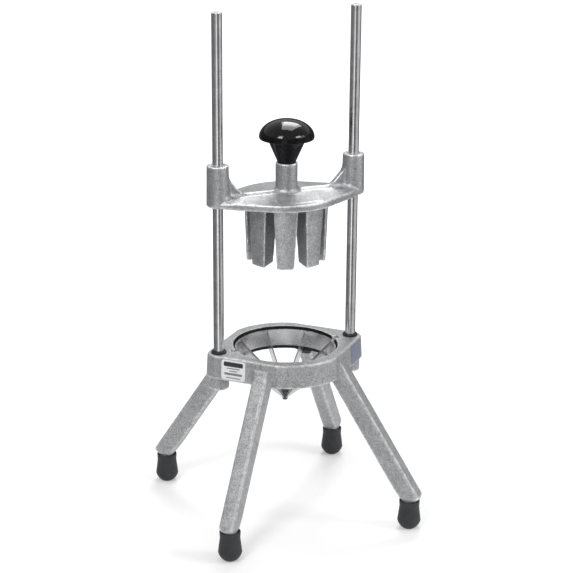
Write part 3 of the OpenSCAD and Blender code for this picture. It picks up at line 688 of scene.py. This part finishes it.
def moulded(name, dark, light, rough, spread, level, depth=0.02):
    """Plastic, film or ink with slow waves and a fine grain."""
    look = Look(name, Specular_IOR_Level=level)
    cloud, fine = look.noise(11, 4, 0.6, warp=0.6), look.noise(0.9, 2, 0.5)
    look.colour(look.mix(look.ramp(look.math("ADD", cloud, fine), 0.8, 1.2), dark, light))
    look.roughness(look.ramp(cloud, 0.35, 0.7, rough, rough + spread))
    look.bump(cloud, 0.5, depth * 2)
    look.bump(fine, 0.4, depth)
    return look.material


# The base casting has painted shade, near black, in the gap round the blade ring, inside this
# radius
GAP_SHADE_R = 0.0487

# Each casting's third colour is its convex edges' colour: worn polish with a painted highlight
looks = {
    "base_casting": cast_metal(
        "sand_cast_aluminium", (0.24, 0.245, 0.255), (0.50, 0.505, 0.515), (0.84, 0.85, 0.86),
        0.48, 1.1, 0.32, 0.55, GAP_SHADE_R),
    "head_casting": cast_metal(
        "tumbled_aluminium", (0.25, 0.255, 0.265), (0.56, 0.565, 0.58), (0.95, 0.96, 0.97),
        0.38, 1.0, 0.30, 0.72),
    "rod_steel": turned_steel(
        "ground_bar_steel", (0.60, 0.60, 0.61), (0.74, 0.74, 0.75), 0.13, 0.22, 0.01),
    "blade_steel": sheet_steel(
        "blade_steel", (0.62, 0.62, 0.63), (0.74, 0.74, 0.75), 0.28, 0.5),
    "pin_steel": sheet_steel(
        "blackened_steel", (0.06, 0.06, 0.065), (0.13, 0.13, 0.135), 0.42, 0.5, 0.9),
    "fastener_steel": sheet_steel(
        "plated_steel", (0.42, 0.42, 0.43), (0.62, 0.62, 0.62), 0.34, 0.6),
    "foot_rubber": rubber(
        "foot_rubber", (0.020, 0.022, 0.025), (0.036, 0.038, 0.042), 0.62, 0.5, 0.05),
    "bumper_rubber": rubber(
        "bumper_rubber", (0.008, 0.008, 0.008), (0.016, 0.016, 0.017), 0.45, 0.4, 0.03),
    "knob_plastic": moulded(
        "gloss_phenolic", (0.0035, 0.0035, 0.004), (0.007, 0.007, 0.008),
        0.05, 0.05, 0.15, 0.004),
    "insert_brass": sheet_steel(
        "turned_brass", (0.50, 0.36, 0.14), (0.68, 0.52, 0.24), 0.28, 0.3),
    "bushing_nylon": moulded(
        "bushing_nylon", (0.40, 0.41, 0.43), (0.52, 0.53, 0.55), 0.42, 0.12, 0.5),
    "front_label": moulded(
        "label_film", (0.74, 0.75, 0.75), (0.84, 0.85, 0.85), 0.32, 0.14, 0.5),
    "end_label": moulded(
        "end_film", (0.16, 0.18, 0.24), (0.20, 0.225, 0.30), 0.30, 0.14, 0.5),
}
band_ink = moulded("label_ink", (0.018, 0.018, 0.02), (0.035, 0.035, 0.038), 0.38, 0.12, 0.5)
rule_ink = moulded("label_rule", (0.16, 0.16, 0.17), (0.26, 0.26, 0.27), 0.38, 0.12, 0.5)


def paint(obj, material):
    obj.data.materials.clear()
    obj.data.materials.append(material)


for obj in list(bpy.data.objects):
    if obj.type == "MESH" and "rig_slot" in obj:
        paint(obj, looks[obj["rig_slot"]])
paint(label_band, band_ink)
paint(label_rules, rule_ink)

# CAD nodes that stay as they are, with a better material
CAD_LOOKS = {
    "blade_ring": "blade_steel", "blade_hub": "pin_steel", "blade_screws": "fastener_steel",
    "rod_washers": "fastener_steel", "rod_nuts": "fastener_steel",
    "bushing_upper_left": "bushing_nylon", "bushing_upper_right": "bushing_nylon",
    "bushing_lower_left": "bushing_nylon", "bushing_lower_right": "bushing_nylon",
    "knob_stud": "fastener_steel", "knob_insert": "insert_brass",
}
for name, slot in CAD_LOOKS.items():
    for place in NODES[name].material_slots:
        place.material = looks[slot]


# ---------------------------------------------------------------- stage, light and camera

# From here on lengths are in metres
FLOOR_HALF = 6
CARD_R, CARD_TOP, CARD_STEPS = 0.45, 0.52, 8
AMBIENT, WHITE = 0.52, 1.0
CAMERA_AZ = radians(-22.0162)
TOWARDS = Vector((sin(CAMERA_AZ), -cos(CAMERA_AZ), 0))
SIDEWAYS = Vector((cos(CAMERA_AZ), sin(CAMERA_AZ), 0))
KNOB_PLACE = Vector((0, 0, 0.37))
GLINT_AWAY = 1.6


def stage_mesh(name, verts, faces):
    mesh = bpy.data.meshes.new(name)
    mesh.from_pydata(verts, [], faces)
    obj = bpy.data.objects.new(name, mesh)
    bpy.context.scene.collection.objects.link(obj)
    return obj


def direction(side, height):
    """Unit vector at degrees to the right of the camera's side and above the horizon."""
    level = TOWARDS * cos(radians(side)) + SIDEWAYS * sin(radians(side))
    return level * cos(radians(height)) + Vector((0, 0, sin(radians(height))))


def seen_directly(add, link):
    """1 for rays that see the backdrop itself: camera, glossy and transmission rays."""
    path = add("ShaderNodeLightPath")
    seen = path.outputs["Is Camera Ray"]
    for kind in ("Is Glossy Ray", "Is Transmission Ray"):
        node = add("ShaderNodeMath")
        node.operation = "MAXIMUM"
        link(seen, node.inputs[0])
        link(path.outputs[kind], node.inputs[1])
        seen = node.outputs[0]
    return seen


# Pale floor, which glows towards white away from the object for rays that see it directly
floor = stage_mesh("floor", [(x * FLOOR_HALF, y * FLOOR_HALF, 0)
                             for x, y in ((-1, -1), (1, -1), (1, 1), (-1, 1))], [(0, 1, 2, 3)])
sheet = Look("studio_floor", Roughness=0.9, Specular_IOR_Level=0.1)
cloud = sheet.ramp(sheet.noise(400, 3), 0.3, 0.7)
sheet.colour(sheet.mix(cloud, (0.80, 0.80, 0.80), (0.82, 0.82, 0.82)))
distance = sheet.add("ShaderNodeVectorMath", operation="LENGTH")
sheet.link(sheet.coord.outputs["Object"], distance, 0)
rise = sheet.ramp(distance.outputs["Value"], 0.3, 1.6, 0.24, 0.75)
glow = sheet.add("ShaderNodeEmission")
direct = seen_directly(sheet.nodes.new, sheet.links.new)
sheet.link(sheet.math("MULTIPLY", direct, rise), glow, "Strength")
both = sheet.add("ShaderNodeAddShader")
sheet.link(sheet.shader.outputs[0], both, 0)
sheet.link(glow.outputs[0], both, 1)
out = next(n for n in sheet.nodes if n.type == "OUTPUT_MATERIAL")
sheet.link(both.outputs[0], out, "Surface")
paint(floor, sheet.material)


def card(name, start, end, tone):
    """An upright curved card that only reflections show, between two angles in degrees."""
    verts = []
    for k in range(CARD_STEPS + 1):
        level = direction(start + (end - start) * k / CARD_STEPS, 0) * CARD_R
        verts += [level + Vector((0, 0, z)) for z in (0.0, CARD_TOP)]
    faces = [(2 * k, 2 * k + 2, 2 * k + 3, 2 * k + 1) for k in range(CARD_STEPS)]
    obj = stage_mesh(name, verts, faces)
    obj.visible_camera = obj.visible_diffuse = obj.visible_shadow = False
    look = Look(name, Roughness=0.9, Specular_IOR_Level=0.0)
    patches = look.ramp(look.noise(60, 2), 0.3, 0.7)
    look.colour(look.mix(patches, (tone * 0.9,) * 3, (tone * 1.1,) * 3))
    paint(obj, look.material)


card("card_left", -180, -45, 0.20)
card("card_near_left", -45, -20, 0.40)
card("card_near_right", 1, 48, 0.22)
card("card_pale", 50, 106, 0.70)
card("card_right", 106, 180, 0.15)

# World: soft light on the object, and white where it is seen directly
world = bpy.data.worlds.new("studio")
bpy.context.scene.world = world
world.use_nodes = True
world_nodes, world_link = world.node_tree.nodes, world.node_tree.links.new
world_nodes.clear()
shades = []
for strength in (AMBIENT, WHITE):
    shade = world_nodes.new("ShaderNodeBackground")
    shade.inputs["Color"].default_value = (1, 1, 1, 1)
    shade.inputs["Strength"].default_value = strength
    shades.append(shade.outputs[0])
world_mix = world_nodes.new("ShaderNodeMixShader")
world_link(seen_directly(world_nodes.new, world_link), world_mix.inputs[0])
world_link(shades[0], world_mix.inputs[1])
world_link(shades[1], world_mix.inputs[2])
world_link(world_mix.outputs[0], world_nodes.new("ShaderNodeOutputWorld").inputs["Surface"])


def lamp(name, place, aim, size, power):
    data = bpy.data.lights.new(name, "AREA")
    data.shape = "RECTANGLE"
    data.size, data.size_y = size
    data.energy = power
    obj = bpy.data.objects.new(name, data)
    bpy.context.scene.collection.objects.link(obj)
    obj.location = place
    obj.rotation_euler = (Vector(aim) - Vector(place)).to_track_quat("-Z", "Y").to_euler()
    obj.visible_camera = False
    return obj


lamp("key", (-1.1, -0.9, 1.5), (0, 0, 0.2), (0.5, 0.5), 12)
lamp("fill", (1.3, -1.0, 0.9), (0, 0, 0.25), (0.6, 0.9), 11)
lamp("top", (0.5, 0.9, 1.6), (0, 0, 0.25), (0.7, 0.7), 12)

# Lamps that show only as highlights on the glossy knob
knob_only = bpy.data.collections.new("knob_only")
knob_only.objects.link(knob_grip)
for name, side, height, size, power in (("window", 166, 64, (0.85, 1.4), 43),
                                        ("glint_left", -30, 32, (0.50, 0.28), 13),
                                        ("glint_right", 55, 32, (0.57, 0.32), 17)):
    place = KNOB_PLACE + direction(side, height) * GLINT_AWAY
    glint = lamp(name, place, KNOB_PLACE, size, power)
    glint.visible_diffuse = False
    glint.light_linking.receiver_collection = knob_only

# Camera, from the fit to the photograph. The focal length is in pixels of its longer side.
FOCAL_PX, LONG_SIDE_PX, SENSOR = 1675.945, 573, 36
CAMERA_AWAY, CAMERA_ROLL = 1.548353, radians(0.37375)
AIM_SIDEWAYS, AIM_HEIGHT = 0.000187, 0.219428

back = Vector((-0.35548, -0.87915, 0.31738)).normalized()
level_up = back.cross(SIDEWAYS)
camera_x = SIDEWAYS * cos(CAMERA_ROLL) + level_up * sin(CAMERA_ROLL)
camera_y = back.cross(camera_x)
camera_data = bpy.data.cameras.new("camera")
camera_data.sensor_width = SENSOR
camera_data.lens = FOCAL_PX * SENSOR / LONG_SIDE_PX
camera_data.clip_end = 50
camera = bpy.data.objects.new("camera", camera_data)
bpy.context.scene.collection.objects.link(camera)
target = SIDEWAYS * AIM_SIDEWAYS + Vector((0, 0, AIM_HEIGHT))
turn = Matrix((camera_x, camera_y, back)).transposed().to_4x4()
camera.matrix_world = Matrix.Translation(target + back * CAMERA_AWAY) @ turn
bpy.context.scene.camera = camera
bpy.context.scene.view_settings.view_transform = "Standard"
